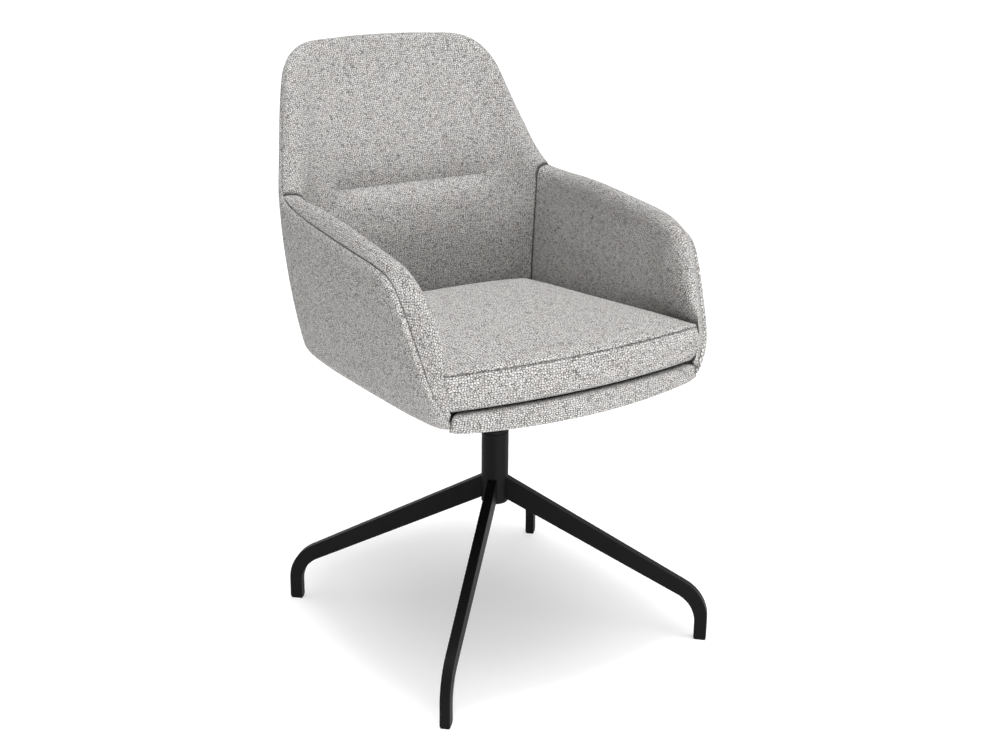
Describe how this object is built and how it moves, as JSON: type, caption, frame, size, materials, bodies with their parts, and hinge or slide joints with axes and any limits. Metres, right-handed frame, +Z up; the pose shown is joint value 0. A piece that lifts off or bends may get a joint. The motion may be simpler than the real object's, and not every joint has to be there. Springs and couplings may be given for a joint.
{
  "type": "swivel armchair",
  "caption": "Upholstered swivel armchair: wrap-around arms and backrest, loose seat cushion on a bowed front rail, round column and black base of angled flat-bar legs",
  "frame": {"origin": "on the floor, straight under the column axis", "axes": "+Z up, the sitter faces -Y, +X to the chair's right as seen from the front camera; the chair is alike on both sides of X = 0"},
  "size_m": [0.512, 0.5898, 0.8896],
  "materials": {
    "upholstery": "coarse light grey marl weave",
    "foam": "open-cell foam",
    "lining": "thin black lining cloth",
    "plywood": "raw birch plywood",
    "black_steel": "matt black powder coat",
    "zinc_steel": "zinc plated",
    "glide_nylon": "black nylon",
    "bearing_nylon": "natural nylon"
  },
  "bodies": {
    "base": {"leg_back_right": "black_steel", "glide_back_right": "glide_nylon", "leg_back_left": "black_steel", "glide_back_left": "glide_nylon", "leg_front_left": "black_steel", "glide_front_left": "glide_nylon", "leg_front_right": "black_steel", "glide_front_right": "glide_nylon", "column_tube": "black_steel", "column_cap": "glide_nylon", "lower_bush": "bearing_nylon", "upper_bush": "bearing_nylon", "thrust_washer": "bearing_nylon"},
    "seat": {"outer_cover": "upholstery", "arm_pad_right": "upholstery", "arm_pad_left": "upholstery", "back_pad": "upholstery", "front_rail": "upholstery", "seat_cushion": "upholstery", "seat_deck": "foam", "dust_cover": "lining", "side_board_right": "plywood", "side_board_left": "plywood", "back_board": "plywood", "seat_board": "plywood", "board_screws": "zinc_steel", "tee_nuts": "zinc_steel", "plate_screws": "zinc_steel", "seat_plate": "black_steel", "swivel_collar": "black_steel", "spindle": "zinc_steel", "retaining_washer": "zinc_steel", "circlip": "zinc_steel"}
  },
  "joints": [
    {"name": "swivel", "type": "hinge", "parent": "base", "child": "seat", "pos_m": [0, 0, 0.32], "axis": [0, 0, 1], "continuous": true}
  ]
}
